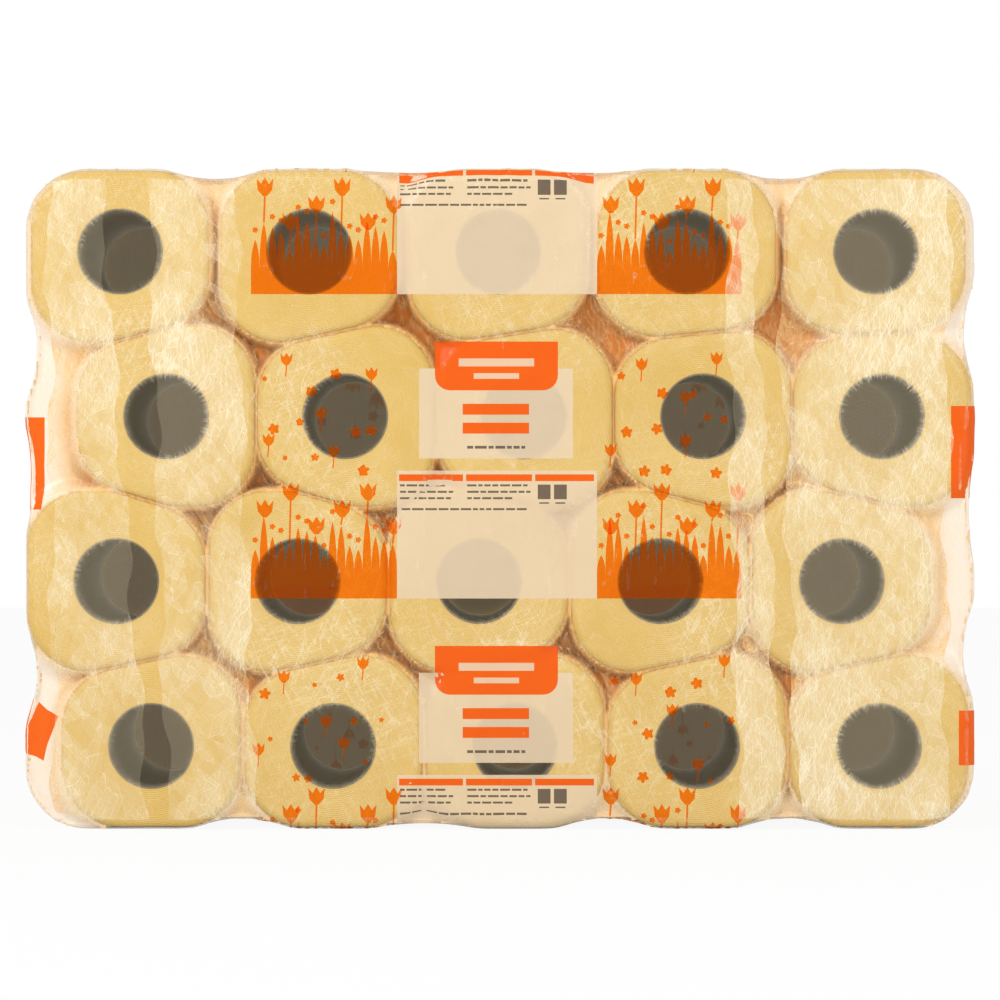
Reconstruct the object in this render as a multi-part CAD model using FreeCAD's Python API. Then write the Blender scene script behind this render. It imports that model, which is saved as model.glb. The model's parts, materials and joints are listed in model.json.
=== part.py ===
"""A bulk pack of forty toilet rolls, four wrapped rolls to a bundle, in one clear film bag.

Millimetres. The pack stands on its long side with the ends of the rolls facing the front:
+X is along the pack, -Y is the front, +Z is up. The origin is the middle of the underside.
"""
import FreeCAD, Part
import math
import os

# The rolls: a wound sheet on a card tube, squeezed by its neighbours into a rounded square.
roll_length = 100.0
roll_width = 94.5
roll_height = 96.0
roll_corner = 31.0
core_outer_radius = 22.6
core_wall = 0.6
core_clearance = 0.15

# The stack: one entry for each row, from the top row down. Each row lies shifted to its own
# place with its own gap from roll to roll, and sinks into the hollows of the row below.
row_shift = (-1.0, 12.8, -11.1, 8.0)
row_gap = (5.7, 0.4, 1.7, 2.0)
row_sink = 8.6
columns = 5
layer_gap = 0.3
rows_in_bundle = 2

# The films, and the play between one thing and the next.
bundle_film = 0.2
bag_film = 0.3
roll_play = 0.2
bundle_play = 0.3
bag_play = 0.3
bundle_merge = 0.3
bundle_tuck = 8.0
bag_edge = 4.0

# How the bag's film spans the hollow from one roll to the next: the radius of its sag, from
# left to right along the top and the underside, and from the top down along the two ends.
sag_top = (60.0, 180.0, 200.0, 60.0)
sag_under = (60.0, 140.0, 60.0, 60.0)
sag_ends = (60.0, 150.0, 60.0)

# The bag's folded ends: a second layer of film over the end columns, front and back, from
# fold lines that lean by fold_lean over the height of the pack.
fold_left_x = -141.0
fold_right_x = 134.0
fold_lean = 9.0
fold_film = 0.3

# The bag's end seals: a fin of doubled film, folded flat against each end.
fin_width = 24.0
fin_film = 0.6
fin_margin = 45.0

# Distances that follow from the values above. A bevel on a layer that lies inside another
# is smaller by bevel_share of the distance between them, so the two stay parallel.
rows = len(row_shift)
layers = ("front", "back")
half_gap = roll_play + bundle_film + bundle_play / 2
bundle_reach = roll_corner + roll_play
bag_reach = bundle_reach + bundle_film + bag_play
core_inset = roll_corner + half_gap
bag_skin = bag_reach + bag_film
bevel_share = 2 - math.sqrt(2)
bag_inner_edge = bag_edge - bevel_share * bag_film
bundle_edge = bag_inner_edge - bevel_share * bag_play
bundle_inner_edge = bundle_edge - bevel_share * bundle_film
roll_edge = bundle_inner_edge - bevel_share * roll_play
row_spacing_z = roll_height - row_sink
stack_half_width = half_gap + max(
    abs(shift) + (columns - 1) / 2 * (roll_width + gap) + roll_width / 2
    for shift, gap in zip(row_shift, row_gap)
)
stack_bottom = bag_skin - core_inset
stack_top = stack_bottom + rows * row_spacing_z
contents_half_depth = roll_length + layer_gap / 2
bundle_half_depth = contents_half_depth + roll_play + bundle_film
bag_half_depth = bundle_half_depth + bag_play + bag_film
pack_width = 2 * (stack_half_width - core_inset + bag_skin)
pack_height = stack_top - core_inset + bag_skin


def centre(row, column):
    """The middle of a roll's end, as (x, z). Row 0 is the top row."""
    x = row_shift[row] + (column - (columns - 1) / 2) * (roll_width + row_gap[row])
    z = stack_bottom + (rows - row - 0.5) * row_spacing_z
    return (x, z)


def neighbours(row, column):
    """The rolls that can touch this one."""
    found = []
    for other_row in range(max(0, row - 1), min(rows, row + 2)):
        for other_column in range(columns):
            if (other_row, other_column) != (row, column):
                found.append((other_row, other_column))
    return found


def clip(polygon, nx, nz, reach):
    """Keep what lies within reach along the unit normal (nx, nz)."""
    kept = []
    for i, (x0, z0) in enumerate(polygon):
        x1, z1 = polygon[(i + 1) % len(polygon)]
        d0 = reach - (x0 * nx + z0 * nz)
        d1 = reach - (x1 * nx + z1 * nz)
        if d0 >= 0:
            kept.append((x0, z0))
        if (d0 > 0 > d1) or (d0 < 0 < d1):
            t = d0 / (d0 - d1)
            kept.append((x0 + t * (x1 - x0), z0 + t * (z1 - z0)))
    return kept


def heart(row, column, mate=None, whole_cell=True):
    """The polygon whose rounding gives a roll's outline, or its bundle's film.

    It is the room that a roll has among its neighbours, drawn in by the corner radius. With
    a mate, the side towards that roll is drawn in less, so the two films run into one.
    """
    x, z = centre(row, column)
    side = stack_half_width - core_inset
    polygon = [
        (-side, stack_bottom + core_inset),
        (side, stack_bottom + core_inset),
        (side, stack_top - core_inset),
        (-side, stack_top - core_inset),
    ]
    if not whole_cell:
        polygon = clip(polygon, 1, 0, x + roll_width / 2 - roll_corner)
        polygon = clip(polygon, -1, 0, -x + roll_width / 2 - roll_corner)
        polygon = clip(polygon, 0, 1, z + roll_height / 2 - roll_corner)
        polygon = clip(polygon, 0, -1, -z + roll_height / 2 - roll_corner)
    for other in neighbours(row, column):
        other_x, other_z = centre(*other)
        distance = math.hypot(other_x - x, other_z - z)
        nx = (other_x - x) / distance
        nz = (other_z - z) / distance
        inset = core_inset
        if other == mate:
            inset = bundle_reach + bundle_film - bundle_merge
        polygon = clip(polygon, nx, nz, x * nx + z * nz + distance / 2 - inset)
    corners = []
    for point in polygon:
        if not corners or math.dist(point, corners[-1]) > 0.05:
            corners.append(point)
    if math.dist(corners[0], corners[-1]) < 0.05:
        corners.pop()
    return corners


def vector(x, z, y=0.0):
    return FreeCAD.Vector(x, y, z)


def on_disc(middle, radius, way):
    """The point of a disc's edge that lies in the direction way."""
    return vector(middle[0] + radius * way[0], middle[1] + radius * way[1])


def arc(middle, radius, start, end, bulge):
    """An arc round middle, between two directions, passing the direction called bulge."""
    return Part.Arc(*(on_disc(middle, radius, way) for way in (start, bulge, end))).toShape()


def unit(x, z):
    length = math.hypot(x, z)
    return (x / length, z / length)


def outline(corners, radius, sags=None):
    """The face inside a line that goes round a disc at each corner, counterclockwise.

    After a corner whose number is in sags, the line sags between the two discs as an arc
    of the radius given there that touches both, and elsewhere it runs straight.
    """
    sags = sags or {}
    count = len(corners)
    leave = []
    arrive = [None] * count
    hubs = {}
    for i in range(count):
        following = (i + 1) % count
        x0, z0 = corners[i]
        x1, z1 = corners[following]
        along = unit(x1 - x0, z1 - z0)
        out = (along[1], -along[0])
        if i in sags:
            half = math.dist(corners[i], corners[following]) / 2
            rise = math.sqrt((sags[i] + radius) ** 2 - half ** 2)
            hub = ((x0 + x1) / 2 + out[0] * rise, (z0 + z1) / 2 + out[1] * rise)
            hubs[i] = (hub, (-out[0], -out[1]))
            leave.append(unit(hub[0] - x0, hub[1] - z0))
            arrive[following] = unit(hub[0] - x1, hub[1] - z1)
        else:
            leave.append(out)
            arrive[following] = out
    edges = []
    for i in range(count):
        following = (i + 1) % count
        if math.dist(arrive[i], leave[i]) > 1e-6:
            bulge = unit(arrive[i][0] + leave[i][0], arrive[i][1] + leave[i][1])
            edges.append(arc(corners[i], radius, arrive[i], leave[i], bulge))
        a = on_disc(corners[i], radius, leave[i])
        b = on_disc(corners[following], radius, arrive[following])
        if i in hubs:
            hub, inward = hubs[i]
            edges.append(Part.Arc(a, on_disc(hub, sags[i], inward), b).toShape())
        elif a.distanceToPoint(b) > 1e-6:
            edges.append(Part.LineSegment(a, b).toShape())
    return Part.Face(Part.Wire(Part.__sortEdges__(edges)))


def prism(face, y_from, y_to):
    moved = face.translated(FreeCAD.Vector(0, y_from, 0))
    return moved.extrude(FreeCAD.Vector(0, y_to - y_from, 0))


def end_edges(solid, places):
    """The edges of a prism that lie in the planes y = one of the places."""
    found = []
    for edge in solid.Edges:
        box = edge.BoundBox
        if any(abs(box.YMin - y) < 1e-4 and abs(box.YMax - y) < 1e-4 for y in places):
            found.append(edge)
    return found


def tissue_roll(row, column, layer):
    """One roll: bevelled where its end faces out of the pack, plain where it meets the other."""
    face = outline(heart(row, column, whole_cell=False), roll_corner)
    sign = -1 if layer == "front" else 1
    inner = sign * layer_gap / 2
    outer = sign * contents_half_depth
    body = prism(face, inner, outer)
    body = body.makeChamfer(roll_edge, end_edges(body, [outer]))
    x, z = centre(row, column)
    start = vector(x, z, inner - sign)
    bore = Part.makeCylinder(
        core_outer_radius + core_clearance, roll_length + 2, start, FreeCAD.Vector(0, sign, 0)
    )
    return body.cut(bore)


def core_tube(row, column, layer):
    """The plain card tube that a roll is wound on."""
    sign = -1 if layer == "front" else 1
    x, z = centre(row, column)
    start = vector(x, z, sign * layer_gap / 2)
    along = FreeCAD.Vector(0, sign, 0)
    outside = Part.makeCylinder(core_outer_radius, roll_length, start, along)
    inside = Part.makeCylinder(core_outer_radius - core_wall, roll_length, start, along)
    return outside.cut(inside)


def bundle_body(upper, lower, radius, half_depth, tuck, edge):
    """The closed form of the film round two rolls, tucked in where the rolls meet."""
    faces = [
        outline(heart(*upper, mate=lower), radius),
        outline(heart(*lower, mate=upper), radius),
    ]
    body = prism(faces[0], -half_depth, half_depth).fuse(prism(faces[1], -half_depth, half_depth))
    body = body.removeSplitter()
    creases = []
    for seam in body.Edges:
        if abs(seam.Length - 2 * half_depth) < 1e-3 and is_crease(body, seam):
            creases.append(seam)
    body = body.makeFillet(tuck, creases)
    return body.makeChamfer(edge, end_edges(body, [-half_depth, half_depth]))


def is_crease(body, seam):
    """True where two walls of a prism meet at an angle: rounded walls run on smoothly."""
    middle = seam.valueAt((seam.FirstParameter + seam.LastParameter) / 2)
    normals = []
    for face in body.ancestorsOfType(seam, Part.Face):
        u, v = face.Surface.parameter(middle)
        normals.append(face.normalAt(u, v))
    return normals[0].getAngle(normals[1]) > 0.05


def bundle_wrap(bundle, column):
    """The clear film round four rolls: two rolls high and two deep."""
    upper = (bundle * rows_in_bundle, column)
    lower = (bundle * rows_in_bundle + 1, column)
    outside = bundle_body(
        upper, lower, bundle_reach + bundle_film, bundle_half_depth, bundle_tuck, bundle_edge
    )
    inside = bundle_body(
        upper, lower, bundle_reach, bundle_half_depth - bundle_film,
        bundle_tuck + bundle_film, bundle_inner_edge
    )
    return outside.cut(inside)


def pack_corners():
    """The corners of the outer rolls' hearts on the pack's four sides, counterclockwise.

    Each comes with the radius of the sag that follows it, or None where the film runs on
    straight over the same roll.
    """
    side = stack_half_width - core_inset
    low = stack_bottom + core_inset
    high = stack_top - core_inset
    walk = []
    for column in range(columns):
        sag = sag_under[column % len(sag_under)]
        walk.append((rows - 1, column, sag, lambda p: abs(p[1] - low), lambda p: p[0]))
    for row in reversed(range(rows)):
        sag = sag_ends[(row - 1) % len(sag_ends)]
        walk.append((row, columns - 1, sag, lambda p: abs(p[0] - side), lambda p: p[1]))
    for column in reversed(range(columns)):
        sag = sag_top[(column - 1) % len(sag_top)]
        walk.append((0, column, sag, lambda p: abs(p[1] - high), lambda p: -p[0]))
    for row in range(rows):
        sag = sag_ends[row % len(sag_ends)]
        walk.append((row, 0, sag, lambda p: abs(p[0] + side), lambda p: -p[1]))
    corners = []
    sags = []
    for i, (row, column, sag, off_side, order) in enumerate(walk):
        found = [p for p in heart(row, column) if off_side(p) < 1e-3]
        for point in sorted(found, key=order):
            if any(math.dist(point, known) < 0.05 for known in corners):
                continue
            corners.append(point)
            sags.append(None)
        if walk[(i + 1) % len(walk)][:2] != (row, column):
            sags[-1] = sag
    return corners, sags


def bag_face(extra):
    """The bag's outline, grown by extra beyond the inner face of its film."""
    corners, sags = pack_corners()
    radii = {i: sag - extra for i, sag in enumerate(sags) if sag}
    return outline(corners, bag_reach + extra, radii)


def bag_body(extra, y_reach, edge):
    """The closed form of the bag, bevelled round its front and back."""
    body = prism(bag_face(extra), -y_reach, y_reach)
    return body.makeChamfer(edge, end_edges(body, [-y_reach, y_reach]))


def seal_fins():
    """The seal down each end: a strip of doubled film that follows the end's outline."""
    strip = prism(bag_face(bag_film + fin_film), -fin_width / 2, fin_width / 2)
    strip = strip.cut(prism(bag_face(bag_film / 2), -fin_width, fin_width))
    height = pack_height - 2 * fin_margin
    start = pack_width / 2 - bag_skin
    room = Part.makeBox(
        bag_skin * 2, fin_width, height, FreeCAD.Vector(start, -fin_width / 2, fin_margin)
    )
    return [strip.common(room), strip.common(room.mirror(FreeCAD.Vector(), FreeCAD.Vector(1, 0, 0)))]


def fold_layers():
    """The second layer of film over the end columns, on the front and on the back."""
    flat = prism(bag_face(bag_film - bag_edge), bag_half_depth - bag_film, bag_half_depth + fold_film)
    layers_found = []
    for inner_x, outer_x in ((fold_left_x, -pack_width), (fold_right_x, pack_width)):
        lean = math.copysign(fold_lean, outer_x)
        corners = [
            vector(inner_x + lean, -1, 0),
            vector(inner_x, pack_height + 1, 0),
            vector(outer_x, pack_height + 1, 0),
            vector(outer_x, -1, 0),
        ]
        panel = Part.Face(Part.makePolygon(corners + corners[:1]))
        layer = flat.common(prism(panel, 0, 2 * bag_half_depth))
        layers_found.append(layer)
        layers_found.append(layer.mirror(FreeCAD.Vector(), FreeCAD.Vector(0, 1, 0)))
    return layers_found


def outer_bag():
    """The printed film bag, with its folded ends and the seal fin down each end."""
    outside = bag_body(bag_film, bag_half_depth, bag_edge)
    inside = bag_body(0.0, bag_half_depth - bag_film, bag_inner_edge)
    outside = outside.multiFuse(seal_fins() + fold_layers())
    return outside.removeSplitter().cut(inside)


def save(name, shape):
    shape.exportStep("parts/" + name + ".step")


def main():
    os.makedirs("parts", exist_ok=True)
    for row in range(rows):
        for column in range(columns):
            for layer in layers:
                name = "roll_%s_r%d_c%d" % (layer, row + 1, column + 1)
                save(name, tissue_roll(row, column, layer))
    for column in range(columns):
        tubes = [core_tube(row, column, layer) for row in range(rows) for layer in layers]
        save("core_tubes_c%d" % (column + 1), Part.makeCompound(tubes))
    for bundle in range(rows // rows_in_bundle):
        for column in range(columns):
            name = "bundle_wrap_b%d_c%d" % (bundle + 1, column + 1)
            save(name, bundle_wrap(bundle, column))
    save("outer_bag", outer_bag())


main()
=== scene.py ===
# %% [markdown]
# # A bulk pack of toilet rolls in clear film
# The object is forty honey-coloured rolls, wrapped four to a bundle, inside one printed bag. The
# solids that give the pack its real size are loaded first, and every piece made here is worked
# out from them, so nothing has to be fitted by eye afterwards.

import json
import math
import random

import bpy
import bmesh
import numpy as np
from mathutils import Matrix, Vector, noise
from mathutils.bvhtree import BVHTree

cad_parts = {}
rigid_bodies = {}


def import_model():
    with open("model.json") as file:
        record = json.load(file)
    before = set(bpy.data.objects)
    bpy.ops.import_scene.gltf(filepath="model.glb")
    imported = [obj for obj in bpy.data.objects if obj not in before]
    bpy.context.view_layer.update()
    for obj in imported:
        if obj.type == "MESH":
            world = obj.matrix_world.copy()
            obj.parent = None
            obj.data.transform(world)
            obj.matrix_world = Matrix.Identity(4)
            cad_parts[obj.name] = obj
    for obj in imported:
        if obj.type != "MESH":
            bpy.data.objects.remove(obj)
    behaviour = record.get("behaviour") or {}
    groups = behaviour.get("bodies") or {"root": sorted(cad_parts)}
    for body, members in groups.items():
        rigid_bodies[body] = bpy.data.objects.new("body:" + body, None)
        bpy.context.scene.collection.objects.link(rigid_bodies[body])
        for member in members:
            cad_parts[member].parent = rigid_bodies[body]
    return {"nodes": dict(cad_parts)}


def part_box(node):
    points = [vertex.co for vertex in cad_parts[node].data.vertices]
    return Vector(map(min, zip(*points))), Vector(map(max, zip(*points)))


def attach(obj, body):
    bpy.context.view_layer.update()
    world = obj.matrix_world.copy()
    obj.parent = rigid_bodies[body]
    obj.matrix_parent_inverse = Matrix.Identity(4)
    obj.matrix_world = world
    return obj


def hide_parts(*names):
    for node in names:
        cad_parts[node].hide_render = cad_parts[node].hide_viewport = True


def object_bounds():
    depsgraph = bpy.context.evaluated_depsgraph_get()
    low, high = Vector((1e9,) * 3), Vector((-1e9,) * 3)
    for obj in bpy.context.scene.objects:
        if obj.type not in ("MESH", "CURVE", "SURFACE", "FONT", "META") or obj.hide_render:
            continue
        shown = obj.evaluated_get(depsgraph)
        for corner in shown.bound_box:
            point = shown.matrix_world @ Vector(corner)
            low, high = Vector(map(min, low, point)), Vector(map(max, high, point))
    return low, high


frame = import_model()
cad_low, cad_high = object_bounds()
nodes = frame["nodes"]
print("solids:", len(nodes), "box:", tuple(cad_low), tuple(cad_high))

# %% [markdown]
# ## Camera
# The photograph looks straight at the roll ends from far away. A long lens does the same: one
# millimetre on the front film covers the same part of the frame everywhere. The camera's
# distance follows from the width that the frame has to show.

# %% Camera
frame_width = 0.530
camera_lens = 200.0
camera_sensor = 36.0
camera_height = 0.1746
camera_distance = frame_width * camera_lens / camera_sensor

camera_data = bpy.data.cameras.new("photo_camera")
camera_data.lens = camera_lens
camera_data.sensor_width = camera_sensor
camera = bpy.data.objects.new("photo_camera", camera_data)
camera.location = (0.0, cad_low.y - camera_distance, camera_height)
camera.rotation_euler = (math.pi / 2, 0.0, 0.0)
bpy.context.scene.collection.objects.link(camera)
bpy.context.scene.camera = camera
print("camera at", tuple(camera.location))

# %% [markdown]
# ## Small helpers
# Colours are noted as they look on a screen, from 0 to 255, and turned into the linear values
# that a shader wants. An operator works on everything that is selected, so each step starts by
# letting go of all objects. The nodes that most materials need have short functions, which take
# either a value or another node's socket.


# %% Helpers
def screen(red, green, blue):
    """A colour as seen on a screen, as the linear colour that a shader takes."""
    linear = []
    for value in (red, green, blue):
        share = value / 255
        linear.append(share / 12.92 if share <= 0.04045 else ((share + 0.055) / 1.055) ** 2.4)
    return (*linear, 1.0)


def only(piece):
    """Selects one object and nothing else."""
    bpy.ops.object.select_all(action="DESELECT")
    piece.select_set(True)
    bpy.context.view_layer.objects.active = piece


def points_of(piece):
    """The places of a piece's vertices, as rows of x, y, z."""
    places = np.zeros(len(piece.data.vertices) * 3)
    piece.data.vertices.foreach_get("co", places)
    return places.reshape(-1, 3)


def move_points(piece, places):
    piece.data.vertices.foreach_set("co", places.ravel())
    piece.data.update()


def dress(piece, material, slot):
    """Gives a piece its material and rides it on the pack. With the slot bag_film or bundle_film, light
    also passes it.
    """
    piece.data.materials.clear()
    piece.data.materials.append(material)
    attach(piece, "root")
    if slot in ("bag_film", "bundle_film"):
        skip_light(piece)


def skip_light(piece):
    """Lets lamp light and bounces go by a thin clear piece, which keeps the render quick."""
    piece.visible_shadow = False
    piece.visible_diffuse = False
    piece.visible_glossy = False
    piece.visible_transmission = False


def smooth(piece, degrees=60):
    only(piece)
    bpy.ops.object.shade_smooth_by_angle(angle=math.radians(degrees))


def keep(piece, name, values):
    """Keeps a value at each vertex, for a material to read by its name."""
    kept = piece.data.attributes.new(name, "FLOAT", "POINT")
    kept.data.foreach_set("value", values.astype(np.float32))


def step(value, low, high):
    """A soft step, from 0 at low to 1 at high."""
    share = np.clip((value - low) / (high - low), 0.0, 1.0)
    return share * share * (3 - 2 * share)


def feed(tree, value, socket):
    """Sets a socket to a value, or links another socket to it."""
    if isinstance(value, (int, float, tuple)):
        socket.default_value = value
    else:
        tree.links.new(value, socket)


def math_node(tree, operation, first, second=None, clamp=False):
    node = tree.nodes.new("ShaderNodeMath")
    node.operation = operation
    node.use_clamp = clamp
    feed(tree, first, node.inputs[0])
    if second is not None:
        feed(tree, second, node.inputs[1])
    return node.outputs[0]


def mix_colour(tree, mask, first, second):
    node = tree.nodes.new("ShaderNodeMix")
    node.data_type = "RGBA"
    feed(tree, first, node.inputs["A"])
    feed(tree, second, node.inputs["B"])
    feed(tree, mask, node.inputs["Factor"])
    return node.outputs["Result"]


def mix_shaders(tree, share, first, second):
    node = tree.nodes.new("ShaderNodeMixShader")
    feed(tree, share, node.inputs["Fac"])
    tree.links.new(first, node.inputs[1])
    tree.links.new(second, node.inputs[2])
    return node.outputs[0]


# %% [markdown]
# ## Floor and light
# A white floor and a white surround stand for the photographer's sweep. Two wide lamps give the
# film its soft glints. The surround counts as white only for what the camera sees past the pack:
# once a line of sight has crossed four layers of film, surround and floor show a painted dark
# shade instead, for the shade deep in the pack at the far ends of the tubes. Light bounces twice,
# which is enough here and keeps the render short.

# %% Floor and light
floor_level = -0.0004
surround_level = 0.55
floor_glow = 0.93
layers_to_dark = 3.5
light_bounces = 2
white = (1.0, 1.0, 1.0, 1.0)
# painted shade: the dark that shows deep in the pack, at the far ends of the tubes
painted_depth_shade = screen(72, 62, 50)


def past_the_pack(tree, path):
    """White, or a painted dark shade for the pack's depth once a line of sight has crossed enough film."""
    deep = math_node(tree, "GREATER_THAN", path.outputs["Transparent Depth"], layers_to_dark)
    return mix_colour(tree, deep, white, painted_depth_shade), deep


world = bpy.data.worlds.new("white_surround")
world.use_nodes = True
bpy.context.scene.world = world
tree = world.node_tree
tree.nodes.clear()
path = tree.nodes.new("ShaderNodeLightPath")
shown = tree.nodes.new("ShaderNodeBackground")
tree.links.new(past_the_pack(tree, path)[0], shown.inputs["Color"])
lighting = tree.nodes.new("ShaderNodeBackground")
lighting.inputs["Color"].default_value = (1.0, 0.99, 0.97, 1.0)
lighting.inputs["Strength"].default_value = surround_level
choice = mix_shaders(tree, path.outputs["Is Camera Ray"], lighting.outputs[0], shown.outputs[0])
world_out = tree.nodes.new("ShaderNodeOutputWorld")
tree.links.new(choice, world_out.inputs["Surface"])

bpy.ops.object.select_all(action="DESELECT")
bpy.ops.mesh.primitive_plane_add(size=12.0, location=(0.0, 0.0, floor_level))
floor = bpy.context.object
floor.name = "studio_floor"
floor_paint = bpy.data.materials.new("floor_white")
floor_paint.use_nodes = True
tree = floor_paint.node_tree
floor_shader = tree.nodes["Principled BSDF"]
floor_shader.inputs["Base Color"].default_value = (0.9, 0.9, 0.9, 1.0)
floor_shader.inputs["Roughness"].default_value = 0.9
glow = tree.nodes.new("ShaderNodeEmission")
path = tree.nodes.new("ShaderNodeLightPath")
# Past four layers of film the floor glows with the painted dark shade instead of white.
glow_colour, is_deep = past_the_pack(tree, path)
tree.links.new(glow_colour, glow.inputs["Color"])
glow_share = math_node(tree, "MAXIMUM", is_deep, floor_glow)
share = math_node(tree, "MULTIPLY", path.outputs["Is Camera Ray"], glow_share)
blend = mix_shaders(tree, share, floor_shader.outputs[0], glow.outputs[0])
tree.links.new(blend, tree.nodes["Material Output"].inputs["Surface"])
floor.data.materials.append(floor_paint)


def add_lamp(name, place, size, watts):
    """A square soft lamp that faces the middle of the pack."""
    data = bpy.data.lights.new(name, "AREA")
    data.size = size
    data.energy = watts
    lamp = bpy.data.objects.new(name, data)
    lamp.location = place
    aim = Vector((0.0, 0.0, camera_height)) - Vector(place)
    lamp.rotation_euler = aim.to_track_quat("-Z", "Y").to_euler()
    bpy.context.scene.collection.objects.link(lamp)


add_lamp("key_lamp", (-1.3, -1.5, 1.5), 0.9, 24.0)
add_lamp("fill_lamp", (1.6, -1.6, 0.8), 1.2, 13.0)
bpy.context.scene.view_settings.view_transform = "Standard"
bpy.context.scene.cycles.diffuse_bounces = light_bounces
bpy.context.scene.cycles.glossy_bounces = light_bounces
print("lamps:", [lamp.name for lamp in bpy.data.lights])

# %% [markdown]
# ## Where the rolls lie
# The tubes are the surest mark of each roll's axis. Each tube node holds one column, so its
# points fall into four clumps by height, one for each row. The outline of a roll is read from
# the solid's own edge, as the distance from the axis in each direction.


# %% Where the rolls lie
columns = 5
row_gap = 0.01


def column_axes(column):
    """The axes of one column's tubes, top row first, as (x, z)."""
    places = points_of(nodes["core_tubes_c%d" % column])
    places = places[np.argsort(-places[:, 2])]
    breaks = np.where(-np.diff(places[:, 2]) > row_gap)[0] + 1
    found = []
    for clump in np.split(places, breaks):
        middle = (clump.min(0) + clump.max(0)) / 2
        found.append((middle[0], middle[2]))
    return found


axes = {}
for column in range(1, columns + 1):
    for row, axis in enumerate(column_axes(column), start=1):
        axes[row, column] = axis

tube_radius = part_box("core_tubes_c1")[1].z - axes[1, 1][1]


def cross(ax, az, bx, bz):
    return ax * bz - az * bx


class Outline:
    """The squeezed outline of one roll, as a distance from its axis in each direction."""

    def __init__(self, node, axis):
        places = points_of(nodes[node])
        flat = places[:, [0, 2]] - np.array(axis)
        far = np.hypot(flat[:, 0], flat[:, 1]) > 1.5 * tube_radius
        inner_end = np.abs(places[:, 1]) < 0.001
        edge = flat[far & inner_end]
        edge = np.unique(edge.round(6), axis=0)
        turn = np.arctan2(edge[:, 1], edge[:, 0])
        order = np.argsort(turn)
        edge, turn = edge[order], turn[order]
        self.edge = np.vstack([edge[-1:], edge, edge[:1]])
        self.turn = np.concatenate([[turn[-1] - 2 * math.pi], turn, [turn[0] + 2 * math.pi]])

    def reach(self, angle):
        """How far the outline is from the axis, for an array of angles. Where two corners lie in
        nearly the same direction, the line through them says little, so the answer stays near
        the corners' own distances."""
        after = np.clip(np.searchsorted(self.turn, angle), 1, len(self.turn) - 1)
        p, q = self.edge[after - 1], self.edge[after]
        side = q - p
        top = cross(p[:, 0], p[:, 1], side[:, 0], side[:, 1])
        found = top / cross(np.cos(angle), np.sin(angle), side[:, 0], side[:, 1])
        ends = np.hypot(p[:, 0], p[:, 1]), np.hypot(q[:, 0], q[:, 1])
        return np.clip(found, 0.8 * np.minimum(*ends), np.maximum(*ends))


outlines = {}
for (row, column), axis in axes.items():
    outlines[row, column] = Outline("roll_front_r%d_c%d" % (row, column), axis)


def hollow(x, z):
    """How far each point lies outside the nearest roll: negative over a roll's end."""
    least = np.full(len(x), 1.0)
    for cell, (axis_x, axis_z) in axes.items():
        dx, dz = x - axis_x, z - axis_z
        reach = outlines[cell].reach(np.arctan2(dz, dx))
        least = np.minimum(least, np.hypot(dx, dz) - reach)
    return least


print("axes:", len(axes), "tube radius:", round(tube_radius, 5))

# %% [markdown]
# ## Node groups that several materials share
# Thin film shows itself by fine pale streaks where it is pleated; they are partly pale film and
# partly painted highlight for the glints along the pleats. One group draws such streaks from a
# stretched noise: only the narrow ridge between light and dark is kept. The second draws the
# facets of crumpled film, and the third gives paper its soft mottled crepe. All put out plain
# masks, and each material decides what to do with them.


# %% Streak, facet and crepe groups
def new_group(name, inputs, outputs):
    group = bpy.data.node_groups.new(name, "ShaderNodeTree")
    for socket, kind, value in inputs:
        made = group.interface.new_socket(socket, in_out="INPUT", socket_type=kind)
        if value is not None:
            made.default_value = value
    for socket, kind in outputs:
        group.interface.new_socket(socket, in_out="OUTPUT", socket_type=kind)
    return group, group.nodes.new("NodeGroupInput"), group.nodes.new("NodeGroupOutput")


def build_streak_glints():
    """Pale threads of pleated film, partly painted highlight: the narrow ridges of a stretched noise."""
    group, start, end = new_group(
        "film_streak_glints",
        [("Vector", "NodeSocketVector", None), ("Scale", "NodeSocketFloat", 60.0),
         ("Width", "NodeSocketFloat", 0.06)],
        [("Mask", "NodeSocketFloat")],
    )
    tex = group.nodes.new("ShaderNodeTexNoise")
    tex.inputs["Detail"].default_value = 1.0
    group.links.new(start.outputs["Vector"], tex.inputs["Vector"])
    group.links.new(start.outputs["Scale"], tex.inputs["Scale"])
    off = math_node(group, "SUBTRACT", tex.outputs["Fac"], 0.5)
    off = math_node(group, "ABSOLUTE", off)
    off = math_node(group, "DIVIDE", off, start.outputs["Width"])
    line = math_node(group, "SUBTRACT", 1.0, off, clamp=True)
    group.links.new(line, end.inputs["Mask"])
    return group


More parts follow.
